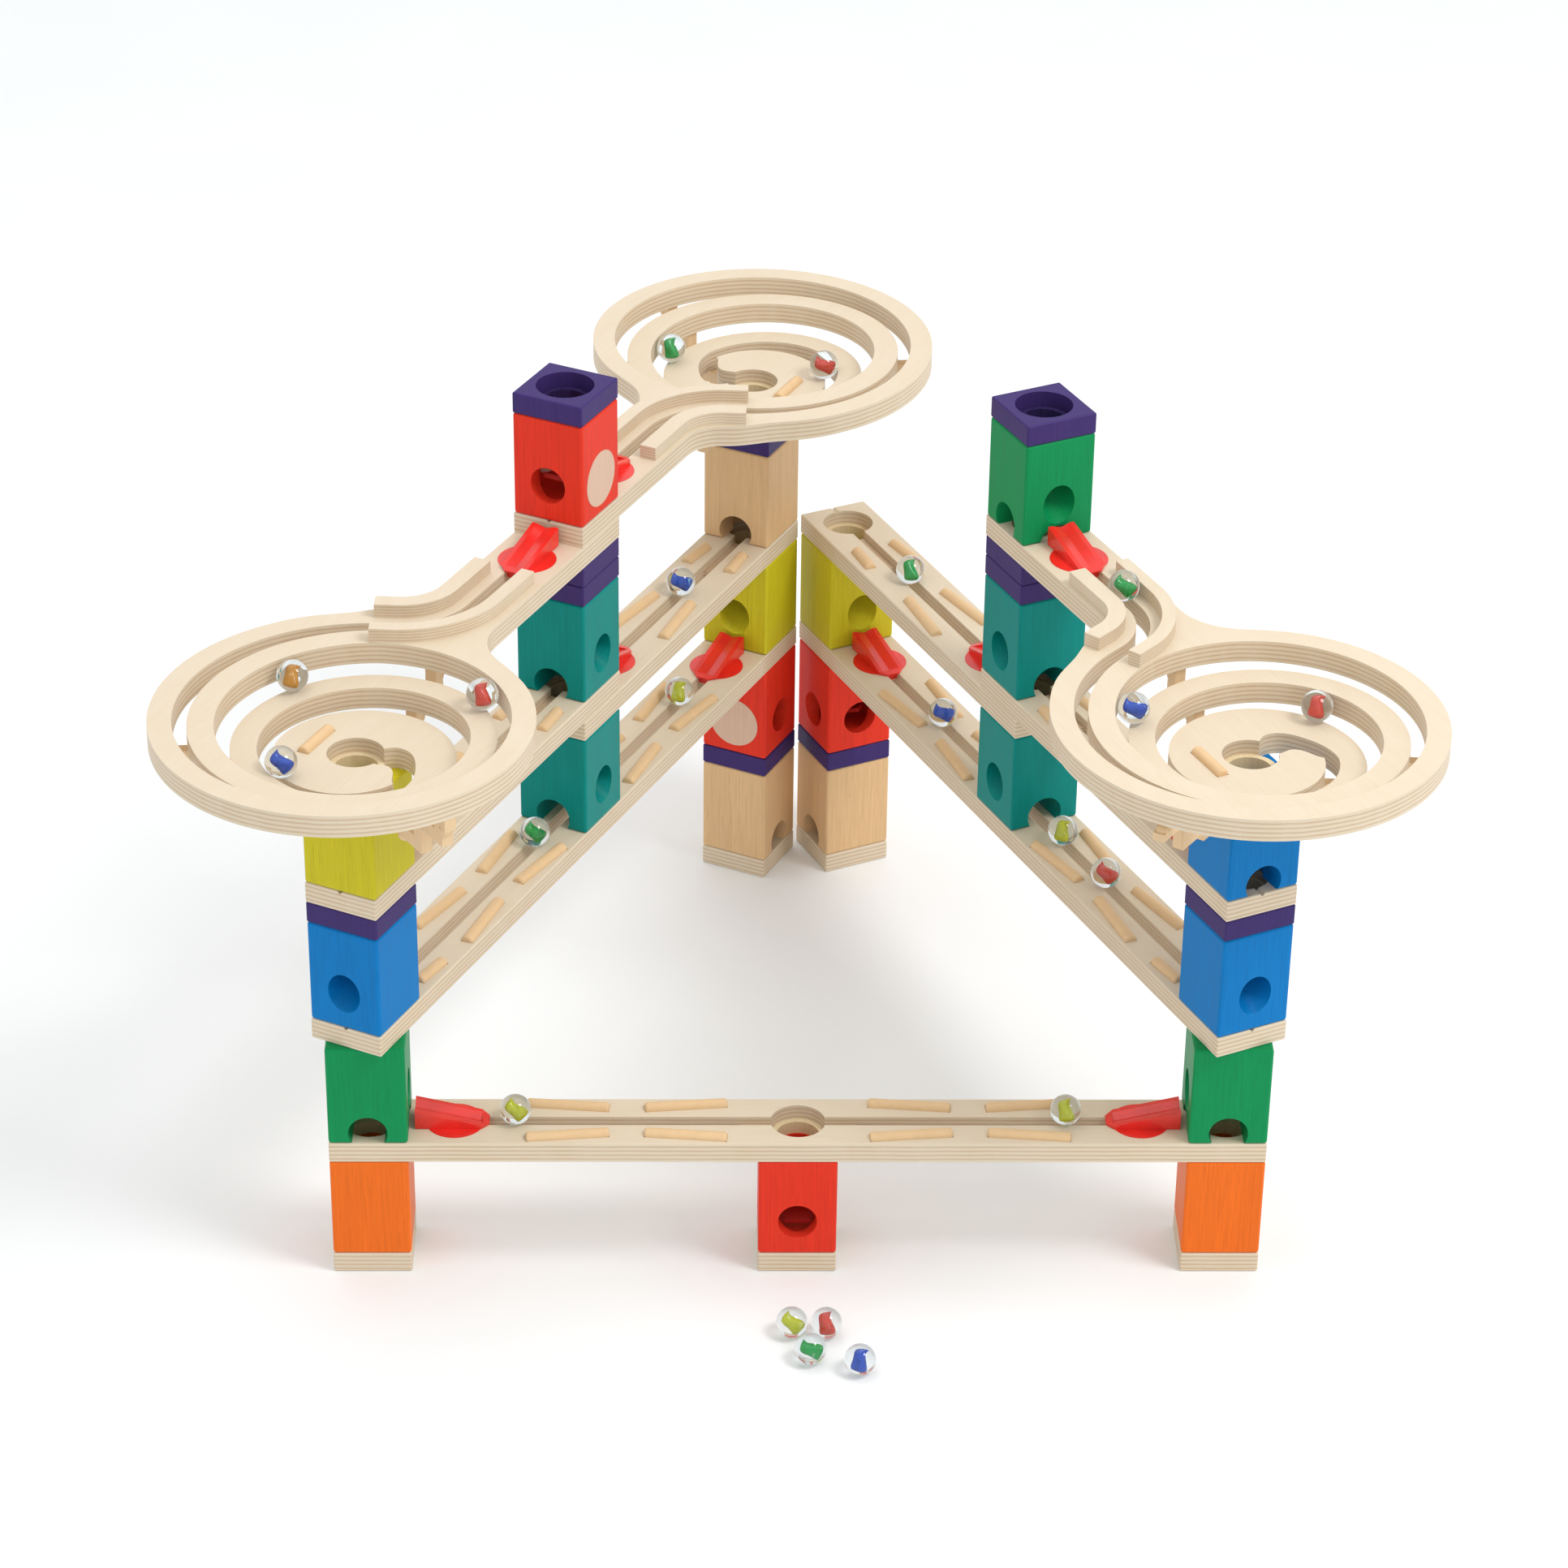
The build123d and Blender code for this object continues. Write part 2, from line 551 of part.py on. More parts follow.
# group, tower, plan angle, underside height, side ports, arches at the foot
BLOCKS = [
    ("blocks_orange", T1, 0.0, PLY, (), ()),
    ("blocks_orange", T3, 0.0, PLY, (), ()),
    ("blocks_green", T1, 0.0, FRONT_Z + PLY, ("x",), ("y", "-y", "x")),
    ("blocks_green", T3, 0.0, FRONT_Z + PLY, ("-x",), ("y", "-y", "-x")),
    ("blocks_green", T7, RIGHT, TAIL_Z + PLY, ("-x",), ("y", "-y", "-x")),
    ("blocks_blue", T1, LEFT, DECK, ("-x",), ()),
    ("blocks_blue", T3, RIGHT, DECK, ("-x",), ()),
    ("blocks_blue", T3, RIGHT, UPPER_Z + PLY, (), ("-x",)),
    ("blocks_yellow", T1, LEFT, UPPER_Z + PLY, (), ()),
    ("blocks_yellow", T4, LEFT, DECK, ("-x",), ()),
    ("blocks_yellow", T5, RIGHT, DECK, ("-x",), ()),
    ("blocks_teal", T6, LEFT, DECK, ("-y",), ("x", "-x")),
    ("blocks_teal", T6, LEFT, UPPER_Z + PLY, ("-y",), ("-x",)),
    ("blocks_teal", T7, RIGHT, DECK, ("y",), ("x", "-x")),
    ("blocks_teal", T7, RIGHT, UPPER_Z + PLY, ("y",), ("-x",)),
    ("blocks_natural", T4, LEFT, PLY, (), ("-y",)),
    ("blocks_natural", T4, LEFT, BACK_Z + PLY, (), ("-x",)),
    ("blocks_natural", T5, RIGHT, PLY, (), ("y",)),
]
# name, tower, plan angle, underside height, ports, pin angle, plugged face
RED_BLOCKS = [
    ("rocker_front", T2, 0.0, PLY, ("-y", "y"), 0.0, "x"),
    ("rocker_back_left", T4, LEFT, 2 * PLY + BLOCK_H, ("-y", "y"), 0.0, "-x"),
    ("rocker_back_right", T5, RIGHT, 2 * PLY + BLOCK_H, ("-x", "y"), 135.0, None),
    ("rocker_top", T6, LEFT, TAIL_Z + 2 * PLY, ("-x", "x"), 90.0, "-y"),
]
# tower, plan angle, underside height
SPACERS = [
    (T1, LEFT, BACK_Z), (T3, RIGHT, BACK_Z), (T4, LEFT, PLY + BLOCK_H), (T5, RIGHT, PLY + BLOCK_H),
    (T4, LEFT, SPIRAL_Z - PLY), (T4, LEFT, SPIRAL_Z),
    (T6, LEFT, SPIRAL_Z), (T6, LEFT, SPIRAL_Z + PLY), (T7, RIGHT, SPIRAL_Z), (T7, RIGHT, SPIRAL_Z + PLY),
]
CAPS = [(T6, LEFT, TAIL_Z + 2 * PLY + BLOCK_H), (T7, RIGHT, TAIL_Z + PLY + BLOCK_H)]
# tower and the heights where a collar joins the pieces above and below
COLLARS = [
    (T1, (PLY, FRONT_Z, SIDE_Z, DECK, BACK_Z, UPPER_Z, UPPER_Z + PLY, SPIRAL_Z)),
    (T2, (PLY, FRONT_Z)),
    (T3, (PLY, FRONT_Z, SIDE_Z, DECK, BACK_Z, UPPER_Z, SPIRAL_Z)),
    (T4, (FRONT_Z, FRONT_Z + PLY, SIDE_Z, DECK, BACK_Z, SPIRAL_Z - PLY, SPIRAL_Z, SPIRAL_Z + PLY)),
    (T5, (FRONT_Z, FRONT_Z + PLY, SIDE_Z, DECK, BACK_Z)),
    (T6, (BACK_Z, UPPER_Z, SPIRAL_Z, SPIRAL_Z + PLY, TAIL_Z, TAIL_Z + PLY, TAIL_Z + 2 * PLY,
          TAIL_Z + 2 * PLY + BLOCK_H)),
    (T7, (BACK_Z, UPPER_Z, SPIRAL_Z, SPIRAL_Z + PLY, TAIL_Z, TAIL_Z + PLY + BLOCK_H)),
]
# name, board, distance along the board
RAIL_MARBLES = [
    ("marble_front_left", "rail_front", -143.4), ("marble_front_right", "rail_front", 136.0),
    ("marble_left_lower_far", "rail_left_lower", 344.8),
    ("marble_left_lower_near", "rail_left_lower", 176.7),
    ("marble_right_lower_far", "rail_right_lower", 314.2),
    ("marble_right_lower_mid", "rail_right_lower", 176.7),
    ("marble_right_lower_near", "rail_right_lower", 130.0),
    ("marble_left_back", "rail_left_back", 87.5), ("marble_right_back", "rail_right_back", 76.9),
    ("marble_tail_right", "spiral_right", 127.8),
]
# name, board, winding angle
SPIRAL_MARBLES = [
    ("marble_spiral_left_amber", "spiral_left", 419.0), ("marble_spiral_left_red", "spiral_left", 321.0),
    ("marble_spiral_left_blue", "spiral_left", 866.0), ("marble_spiral_right_blue", "spiral_right", 406.0),
    ("marble_spiral_right_red", "spiral_right", 653.0), ("marble_spiral_back_green", "spiral_back", 633.0),
    ("marble_spiral_back_red", "spiral_back", 836.0),
]
FLOOR_MARBLES = [("marble_floor_a", -3.4, -72.9), ("marble_floor_b", 13.9, -73.4),
                 ("marble_floor_c", 5.6, -94.7), ("marble_floor_d", 30.1, -103.2)]

for name, (tower, angle, z, make) in RAILS.items():
    write(name, [at(tower, angle, z, make())])

board = spiral_board()
for name, (tower, angle, z) in SPIRALS.items():
    write(name, [at(tower, angle, z, board)])
write("spiral_guards", [at(t, a, z, g) for t, a, z in SPIRALS.values() for g in spiral_guards()])
bars = [strut(a) for a in STRUT_ANGLES]
write("spiral_struts", [at(t, a, z, bar) for t, a, z in SPIRALS.values() for bar in bars])

towers = (T1, T2, T3, T4, T5)
turns = (0.0, 0.0, 0.0, LEFT, RIGHT)
write("feet", [at(t, a, 0.0, foot()) for t, a in zip(towers, turns)])
for group in dict.fromkeys(row[0] for row in BLOCKS):
    rows = [row for row in BLOCKS if row[0] == group]
    write(group, [at(t, a, z, block(ports, arches)) for _, t, a, z, ports, arches in rows])
write("blocks_red", [at(t, a, z, red_block(p, pin, plug)) for _, t, a, z, p, pin, plug in RED_BLOCKS])
purple = [at(t, a, z, spacer()) for t, a, z in SPACERS]
write("spacers_purple", purple + [at(t, a, z, spacer(CAP_BORE_R)) for t, a, z in CAPS])

ring = upright(COLLAR_R, -COLLAR_HALF, COLLAR_HALF) - upright(COLLAR_BORE_R, -4, 4)
write("collars", [at(tower, 0.0, z, ring) for tower, heights in COLLARS for z in heights])

pegs = [at(T2, 0.0, FRONT_Z + PLY, lying_dowel(*line)) for line in FRONT_PEGS]
for name, (tower, angle, z, make) in RAILS.items():
    if make is long_rail:
        pegs += [at(tower, angle, z + PLY, lying_dowel(*line)) for line in LONG_PEGS + LONG_GUIDES]
    if make is short_rail:
        pegs += [at(tower, angle, z + PLY, lying_dowel(*line)) for line in SHORT_PEGS + SHORT_GUIDES]
pegs += [at(t, a, z + PLY - SPIRAL_DROP, lying_dowel(*DISC_PEG)) for t, a, z in SPIRALS.values()]
write("dowels", pegs)

pins, plugs = [], []
for name, tower, angle, z, ports, pin_angle, plug_face in RED_BLOCKS:
    pins.append(at(tower, angle, z, sideways(PIN_R, PIN_L, PIVOT_Z, pin_angle, -PIN_L / 2)))
    if plug_face:
        plug = sideways(PLUG_R, PLUG_DEEP + 0.2, CHAMBER_PORT_Z, FACE[plug_face],
                        SIDE / 2 - PLUG_DEEP)
        plugs.append(at(tower, angle, z, plug))
    write(name, [at(tower, angle, z + PIVOT_Z, Rot(0, 0, pin_angle - 90.0) * rocker())])
write("rocker_pins_and_plugs", pins + plugs)

places = {name: row[:3] for name, row in RAILS.items()}
places.update(SPIRALS)
for name, board_name, along, way in RAMPS:
    tower, angle, z = places[board_name]
    pivot = step_from(tower, angle, along)
    write(name, [at(pivot, angle + way, z + PLY, ramp())])
for name, board_name, along in RAIL_MARBLES:
    tower, angle, z = places[board_name]
    centre = step_from(tower, angle, along)
    seat = TAIL_SEAT if board_name.startswith("spiral") else RAIL_SEAT
    write(name, [at(centre, angle, z + PLY + seat, marble())])
for name, board_name, winding in SPIRAL_MARBLES:
    tower, angle, z = places[board_name]
    write(name, [at(tower, angle, z + PLY, Pos(*seat_on_band(winding)) * marble())])
for name, x, y in FLOOR_MARBLES:
    write(name, [Pos(x, y, MARBLE_R) * marble()])
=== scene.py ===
"""Looks for the wooden marble run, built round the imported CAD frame. Lengths are in metres."""

import json
import math

import bmesh
import bpy
from mathutils import Matrix, Vector


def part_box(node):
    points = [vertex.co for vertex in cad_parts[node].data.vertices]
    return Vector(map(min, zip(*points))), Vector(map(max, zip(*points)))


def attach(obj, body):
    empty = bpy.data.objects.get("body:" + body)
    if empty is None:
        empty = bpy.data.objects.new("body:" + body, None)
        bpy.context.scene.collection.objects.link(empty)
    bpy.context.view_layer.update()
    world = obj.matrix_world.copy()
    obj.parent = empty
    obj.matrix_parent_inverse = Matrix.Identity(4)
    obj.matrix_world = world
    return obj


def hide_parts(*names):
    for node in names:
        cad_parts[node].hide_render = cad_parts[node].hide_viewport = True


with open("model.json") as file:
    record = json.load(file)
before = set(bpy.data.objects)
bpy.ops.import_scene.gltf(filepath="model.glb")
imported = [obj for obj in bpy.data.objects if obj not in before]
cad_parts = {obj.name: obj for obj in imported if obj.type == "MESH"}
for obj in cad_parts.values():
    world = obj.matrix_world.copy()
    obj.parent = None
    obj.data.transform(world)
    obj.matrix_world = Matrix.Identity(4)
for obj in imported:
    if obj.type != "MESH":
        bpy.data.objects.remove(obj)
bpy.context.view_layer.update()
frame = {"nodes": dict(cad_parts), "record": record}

MM = 0.001

# ---- sizes the finishes follow --------------------------------------------------------
PLY = 11.5 * MM            # board thickness
LAYERS = 9                 # veneers in a board
CAP_COLLARS = 360.0 * MM   # only the open caps' collars lie above this
GUARD_THICK = 7.5 * MM     # raised strips beside the spirals' tails
GUARD_ANGLE = 80.0         # plan angle of the strips' fibres, in degrees
SEAM = 0.2 * MM            # how far below a board's base its repeating pattern starts
WANDER = 0.25 * MM         # how far the veneer lines stray up and down
HALF = 217.0 * MM          # half the distance between towers along a long rail
LEFT_ANGLE = 63.2          # plan angles of the two side tracks, in degrees
RIGHT_ANGLE = 115.0
SPIRAL_CENTRE = Vector((-3.9 * MM, -1.4 * MM))   # winding centre seen from the drop hole
SPIRAL_R90 = 84.7 * MM     # slot radius a quarter turn in
SPIRAL_STEP = 20.0 * MM    # radius lost per turn
SPIRAL_DROP = 2 * PLY
BAND_START = 380.0         # winding angles between which the band comes down
BAND_END = 965.0
VANE_WIDTH = 0.37          # vane sizes are shares of the marble's radius: half width,
VANE_TAPER = 0.17          # how much that grows to one end and shrinks to the other,
VANE_BEND = 0.17           # sideways swing of the S,
VANE_REACH = 0.56          # half length of the loft,
VANE_TIP = 0.57            # and half length with the closing tips
VANE_FLATNESS = 0.62       # thickness over width

# ---- colours, linear red, green and blue ----------------------------------------------
BIRCH_PALE = (0.72, 0.615, 0.465)
BIRCH_BROWN = (0.60, 0.45, 0.30)
BIRCH_CLOUD = (0.77, 0.70, 0.59)
BEECH = (0.74, 0.49, 0.26)
DOWEL = (0.76, 0.53, 0.30)
PLUG = (0.70, 0.48, 0.36)
STRUT = (0.76, 0.55, 0.33)
ROCKER = (0.42, 0.020, 0.014)
RAMP_RED = (0.80, 0.022, 0.014)
STAINS = {
    "blocks_orange": (0.86, 0.165, 0.016), "blocks_green": (0.004, 0.27, 0.085),
    "blocks_blue": (0.001, 0.19, 0.53), "blocks_yellow": (0.60, 0.53, 0.020),
    "blocks_teal": (0.001, 0.25, 0.225), "blocks_red": (0.78, 0.040, 0.018),
    "spacers_purple": (0.052, 0.030, 0.150),
}
VANES = {   # a vane's own colour and the colour of its streaks
    "glass_blue": ((0.01, 0.08, 0.58), (0.25, 0.60, 0.85)),
    "glass_green": ((0.0, 0.40, 0.06), (0.35, 0.80, 0.45)),
    "glass_amber": ((0.72, 0.30, 0.02), (0.85, 0.62, 0.30)),
    "glass_red": ((0.80, 0.06, 0.03), (0.95, 0.50, 0.35)),
    "glass_yellow": ((0.66, 0.68, 0.01), (0.85, 0.88, 0.45)),
}


# ---- node building --------------------------------------------------------------------
class Recipe:
    """A material under construction: short calls that add and join shader nodes."""

    def __init__(self, name, roughness, specular=0.5):
        self.material = bpy.data.materials.new(name)
        self.material.use_nodes = True
        self.tree = self.material.node_tree
        self.shader = self.tree.nodes["Principled BSDF"]
        self.shader.inputs["Roughness"].default_value = roughness
        self.shader.inputs["Specular IOR Level"].default_value = specular
        self.place = self.add("ShaderNodeTexCoord").outputs["Object"]

    def add(self, kind):
        return self.tree.nodes.new(kind)

    def feed(self, socket, value):
        """Join an output to the socket, or set the socket to a plain value."""
        if isinstance(value, bpy.types.NodeSocket):
            self.tree.links.new(value, socket)
        else:
            socket.default_value = value

    def maths(self, operation, *values):
        node = self.add("ShaderNodeMath")
        node.operation = operation
        for socket, value in zip(node.inputs, values):
            self.feed(socket, value)
        return node.outputs[0]

    def stretched(self, scale, angle=0.0):
        """Object coordinates turned by a plan angle, then scaled along each axis."""
        turned = self.add("ShaderNodeVectorRotate")
        turned.rotation_type = "Z_AXIS"
        turned.inputs["Angle"].default_value = math.radians(-angle)
        self.feed(turned.inputs["Vector"], self.place)
        scaled = self.add("ShaderNodeVectorMath")
        scaled.operation = "MULTIPLY"
        scaled.inputs[1].default_value = scale
        self.feed(scaled.inputs[0], turned.outputs[0])
        return scaled.outputs[0]

    def noise(self, vector, detail=3.0, roughness=0.55, distortion=0.0):
        node = self.add("ShaderNodeTexNoise")
        node.inputs["Scale"].default_value = 1.0
        node.inputs["Detail"].default_value = detail
        node.inputs["Roughness"].default_value = roughness
        node.inputs["Distortion"].default_value = distortion
        self.feed(node.inputs["Vector"], vector)
        return node.outputs["Fac"]

    def ramp(self, factor, stops):
        """Colour ramp; stops are (position, rgb)."""
        node = self.add("ShaderNodeValToRGB")
        elements = node.color_ramp.elements
        while len(elements) < len(stops):
            elements.new(0.5)
        for element, (position, rgb) in zip(elements, stops):
            element.position = position
            element.color = (*rgb, 1.0)
        self.feed(node.inputs["Fac"], factor)
        return node.outputs["Color"]

    def mix(self, factor, a, b, blend="MIX"):
        node = self.add("ShaderNodeMix")
        node.data_type = "RGBA"
        node.blend_type = blend
        self.feed(node.inputs["Factor"], factor)
        for socket, value in ((node.inputs[6], a), (node.inputs[7], b)):
            self.feed(socket, (*value, 1.0) if isinstance(value, tuple) else value)
        return node.outputs[2]

    def band(self, value, low, high, start=0.0, end=1.0):
        """The value's stretch from low to high, mapped to start..end and held there."""
        node = self.add("ShaderNodeMapRange")
        for socket, number in zip(node.inputs[1:5], (low, high, start, end)):
            socket.default_value = number
        self.feed(node.inputs["Value"], value)
        return node.outputs[0]

    def bump(self, height, strength, depth):
        node = self.add("ShaderNodeBump")
        node.inputs["Strength"].default_value = strength
        node.inputs["Distance"].default_value = depth
        self.feed(node.inputs["Height"], height)
        self.feed(self.shader.inputs["Normal"], node.outputs["Normal"])

    def finish(self, colour, roughness=None):
        self.feed(self.shader.inputs["Base Color"], colour)
        if roughness is not None:
            self.feed(self.shader.inputs["Roughness"], roughness)
        return self.material


def shade(rgb, factor):
    return tuple(min(1.0, c * factor) for c in rgb)


# ---- wood -----------------------------------------------------------------------------
def solid_wood(name, rgb, contrast, flecks, roughness=0.42, angle=0.0, grain=(900, 900, 32)):
    """Solid wood, stained or not: long fibres, short dark pores and slow changes of tone."""
    r = Recipe(name, roughness, 0.12)
    fibres = r.noise(r.stretched(grain, angle), 4.0, 0.6, 0.4)
    slow = r.noise(r.stretched(tuple(g * 0.07 for g in grain), angle), 2.0, 0.5, 1.2)
    pores = r.noise(r.stretched(tuple(g * 2.3 for g in grain), angle), 2.0, 0.4)
    dark, light = shade(rgb, 1.0 - contrast), shade(rgb, 1.0 + 0.6 * contrast)
    colour = r.ramp(fibres, [(0.28, dark), (0.52, rgb), (0.78, light)])
    deep = shade(rgb, 1.0 - 0.8 * contrast)
    colour = r.mix(r.band(slow, 0.35, 0.7, 0.0, 0.45), colour, deep)
    colour = r.mix(r.band(pores, 0.66, 0.74, 0.0, flecks), colour, shade(rgb, 0.45))
    r.bump(fibres, 0.18, 0.12 * MM)
    return r.finish(colour, r.band(fibres, 0.3, 0.8, roughness - 0.06, roughness + 0.1))


def collar_wood():
    """Pale rings, but stained dark inside the two open caps at the top."""
    r = Recipe("collar_wood", 0.45, 0.12)
    parts = r.add("ShaderNodeSeparateXYZ")
    r.feed(parts.inputs[0], r.place)
    fibres = r.noise(r.stretched((700, 700, 40)), 3.0)
    pale = r.ramp(fibres, [(0.3, (0.72, 0.58, 0.36)), (0.7, (0.80, 0.67, 0.43))])
    dark = r.ramp(fibres, [(0.3, (0.022, 0.014, 0.06)), (0.7, (0.040, 0.026, 0.11))])
    in_cap = r.band(parts.outputs[2], CAP_COLLARS, CAP_COLLARS + MM)
    return r.finish(r.mix(in_cap, pale, dark))


def veneer_stops(pale, brown):
    """Stops of the edge pattern: thick pale veneers and thin brown ones, blending a little."""
    widths = [1.0 if i % 2 == 0 else 0.55 for i in range(LAYERS)]
    total, edge, stops = sum(widths), 0.0, []
    for i, width in enumerate(widths):
        tone = pale if i % 2 == 0 else brown
        stops.append(((edge + 0.12 * width) / total, tone))
        stops.append(((edge + 0.88 * width) / total, tone))
        edge += width
    return stops


def spiral_drop(r, tower, angle):
    """How far the hanging band has come down at each point, as a shader value."""
    out = Matrix.Rotation(math.radians(angle), 2) @ SPIRAL_CENTRE
    shift = r.add("ShaderNodeVectorMath")
    shift.operation = "SUBTRACT"
    r.feed(shift.inputs[0], r.place)
    shift.inputs[1].default_value = (tower[0] + out.x, tower[1] + out.y, 0.0)
    parts = r.add("ShaderNodeSeparateXYZ")
    r.feed(parts.inputs[0], shift.outputs[0])
    x, y = parts.outputs[0], parts.outputs[1]
    squares = r.maths("ADD", r.maths("MULTIPLY", x, x), r.maths("MULTIPLY", y, y))
    reach = r.maths("SQRT", squares)
    heading = r.maths("MULTIPLY", r.maths("ARCTAN2", y, x), 180.0 / math.pi)
    heading = r.maths("SUBTRACT", heading, angle)
    inward = r.maths("SUBTRACT", SPIRAL_R90, reach)
    least = r.maths("ADD", r.maths("MULTIPLY", inward, 360.0 / SPIRAL_STEP), 90.0)
    turns = r.maths("CEIL", r.maths("DIVIDE", r.maths("SUBTRACT", least, heading), 360.0))
    winding = r.maths("ADD", heading, r.maths("MULTIPLY", turns, 360.0))
    return r.band(winding, BAND_START, BAND_END, 0.0, SPIRAL_DROP)


def plywood(name, base, thick, angle, spiral=None, step=None):
    """Birch board lying level: veneers show on every cut edge, fibres run along the board.

    Boards one step above each other share a material: their pattern repeats with the step.
    """
    r = Recipe(name, 0.55, 0.2)
    parts = r.add("ShaderNodeSeparateXYZ")
    r.feed(parts.inputs[0], r.place)
    height = parts.outputs[2]
    if spiral:
        height = r.maths("ADD", height, spiral_drop(r, *spiral))
    if step:
        above = r.maths("MODULO", r.maths("SUBTRACT", height, base - SEAM), step)
        height = r.maths("ADD", above, base - SEAM)
    wander = r.noise(r.stretched((30, 60, 20), angle), 2.0)
    height = r.maths("ADD", height, r.band(wander, 0.2, 0.8, -WANDER, WANDER))
    level = r.band(height, base, base + thick)
    fibres = r.noise(r.stretched((26, 1100, 1100), angle), 4.0, 0.6, 0.3)
    cloud = r.noise(r.stretched((22, 70, 22), angle), 3.0, 0.55, 1.5)
    colour = r.ramp(level, veneer_stops(BIRCH_PALE, BIRCH_BROWN))
    colour = r.mix(r.band(fibres, 0.38, 0.78, 0.0, 0.22), colour, BIRCH_BROWN)
    colour = r.mix(r.band(cloud, 0.4, 0.75, 0.0, 0.22), colour, BIRCH_CLOUD)
    r.bump(fibres, 0.15, 0.1 * MM)
    return r.finish(colour, r.band(cloud, 0.3, 0.8, 0.42, 0.56))


# ---- plastic, glass -------------------------------------------------------------------
def red_ramp():
    r = Recipe("ramp_red", 0.3)
    speck = r.noise(r.stretched((700, 700, 700)), 3.0)
    slow = r.noise(r.stretched((60, 60, 60)), 2.0)
    colour = r.ramp(slow, [(0.3, shade(RAMP_RED, 0.86)), (0.7, shade(RAMP_RED, 1.12))])
    r.shader.inputs["Coat Weight"].default_value = 0.35
    r.shader.inputs["Coat Roughness"].default_value = 0.15
    r.bump(speck, 0.08, 0.1 * MM)
    return r.finish(colour, r.band(speck, 0.3, 0.7, 0.27, 0.38))


def clear_glass():
    r = Recipe("marble_glass", 0.0)
    r.shader.inputs["Transmission Weight"].default_value = 1.0
    r.shader.inputs["IOR"].default_value = 1.5
    swirl = r.noise(r.stretched((160, 160, 160)), 2.0, 0.5, 2.0)
    colour = r.ramp(swirl, [(0.35, (0.84, 0.91, 0.93)), (0.65, (0.90, 0.94, 0.95))])
    return r.finish(colour)


def vane_colour(name, rgb, other):
    """Streaks of two tones drawn out along the vane."""
    r = Recipe(name, 0.25)
    streaks = r.noise(r.stretched((260, 260, 90)), 2.0, 0.4, 1.0)
    stops = [(0.30, shade(rgb, 0.75)), (0.42, rgb), (0.66, rgb), (0.80, other)]
    return r.finish(r.ramp(streaks, stops))


# ---- marbles --------------------------------------------------------------------------
def mesh_piece(name, build, material):
    shape = bmesh.new()
    build(shape)
    mesh = bpy.data.meshes.new(name)
    shape.to_mesh(mesh)
    shape.free()
    mesh.polygons.foreach_set("use_smooth", [True] * len(mesh.polygons))
    mesh.materials.append(material)
    piece = bpy.data.objects.new(name, mesh)
    bpy.context.scene.collection.objects.link(piece)
    return piece


def build_vane(shape, radius, twist):
    """An S-shaped drop of coloured glass, thick at one end, lofted from ellipses along Z."""
    stations, around = 30, 24
    rings = []
    for i in range(1, stations):
        t = -1.0 + 2.0 * i / stations
        width = radius * (VANE_WIDTH - VANE_TAPER * t) * (1.0 - t * t) ** 0.8
        swing = -VANE_BEND * radius * math.sin(math.pi * t)
        centre = Vector((swing, 0.0, radius * VANE_REACH * t))
        ring = []
        for k in range(around):
            a = 2.0 * math.pi * k / around
            flat = Vector((width * math.cos(a), VANE_FLATNESS * width * math.sin(a), 0.0))
            ring.append(shape.verts.new(centre + Matrix.Rotation(twist * t, 3, "Z") @ flat))
        rings.append(ring)
    for low, high in zip(rings[:-1], rings[1:]):
        for k in range(around):
            n = (k + 1) % around
            shape.faces.new((low[k], low[n], high[n], high[k]))
    for ring, end in ((rings[0], -1.0), (rings[-1], 1.0)):
        tip = shape.verts.new((0.0, 0.0, radius * VANE_TIP * end))
        for k in range(around):
            shape.faces.new((ring[k], ring[(k + 1) % around], tip))
    bmesh.ops.recalc_face_normals(shape, faces=shape.faces)


def marble(node, slot, glass, vanes, order):
    """Clear ball with its coloured vane in place of the plain CAD ball."""
    low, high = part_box(node)
    centre, radius = (low + high) / 2, (high - low).x / 2
    lean = math.radians(16.0 + 9.0 * (order % 4)) * (1 if order % 2 else -1)
    turn = Matrix.Rotation(math.radians(-30.0), 4, "X") @ Matrix.Rotation(lean, 4, "Y")

    def ball_shape(shape):
        bmesh.ops.create_uvsphere(shape, u_segments=64, v_segments=32, radius=radius)
        shape.transform(Matrix.Translation(centre))

    def vane_shape(shape):
        build_vane(shape, radius, 0.4 + 0.2 * (order % 3))
        shape.transform(Matrix.Translation(centre) @ turn)

    ball = mesh_piece("glass_" + node, ball_shape, glass)
    vane = mesh_piece("vane_" + node, vane_shape, vanes[slot])
    for piece in (ball, vane):
        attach(piece, node)
    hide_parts(node)


# ---- dress the frame ------------------------------------------------------------------
def dress(node, material):
    mesh = frame["nodes"][node].data
    mesh.materials.clear()
    mesh.materials.append(material)
    mesh.polygons.foreach_set("use_smooth", [True] * len(mesh.polygons))


for node, rgb in STAINS.items():
    dress(node, solid_wood("stain_" + node, rgb, 0.16, 0.30))
dress("blocks_natural", solid_wood("beech", BEECH, 0.13, 0.4))
dress("collars", collar_wood())
dress("dowels", solid_wood("dowel_wood", DOWEL, 0.05, 0.08, grain=(160, 160, 160)))
dress("rocker_pins_and_plugs", solid_wood("plug_wood", PLUG, 0.07, 0.12))

